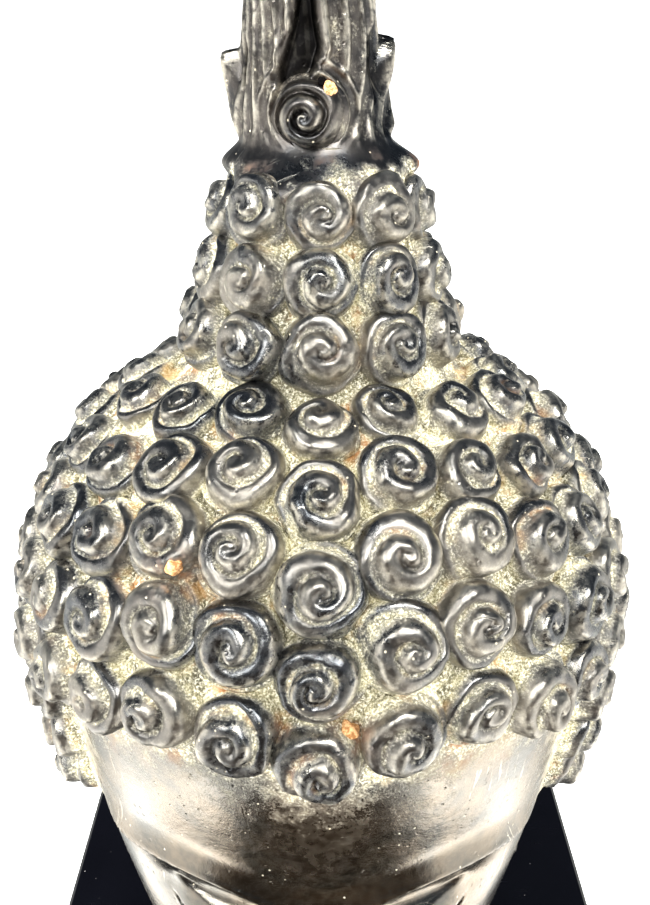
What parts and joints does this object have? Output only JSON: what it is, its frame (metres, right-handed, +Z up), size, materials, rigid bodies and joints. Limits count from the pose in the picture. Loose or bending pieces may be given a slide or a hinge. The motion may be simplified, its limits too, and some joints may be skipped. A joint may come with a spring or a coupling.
{
  "type": "bronze buddha head",
  "caption": "Bronze Buddha head with snail-shell curls, topknot and flame finial, cut flat at the neck and resting on a square black plinth.",
  "frame": {"origin": "centre of the plinth's underside", "axes": "+Z up, the face looks along -Y, +X to the head's left"},
  "size_m": [0.28, 0.28, 0.5656],
  "materials": {
    "aged_bronze": "cast bronze with a dark blue-grey to brown patina, polished on the high places, cream dust in the grooves and a little rust-coloured staining",
    "black_lacquer": "smooth glossy black lacquer with faint dust and fine scratches"
  },
  "bodies": {
    "root": {"buddha_head": "aged_bronze", "plinth": "black_lacquer"}
  },
  "joints": []
}
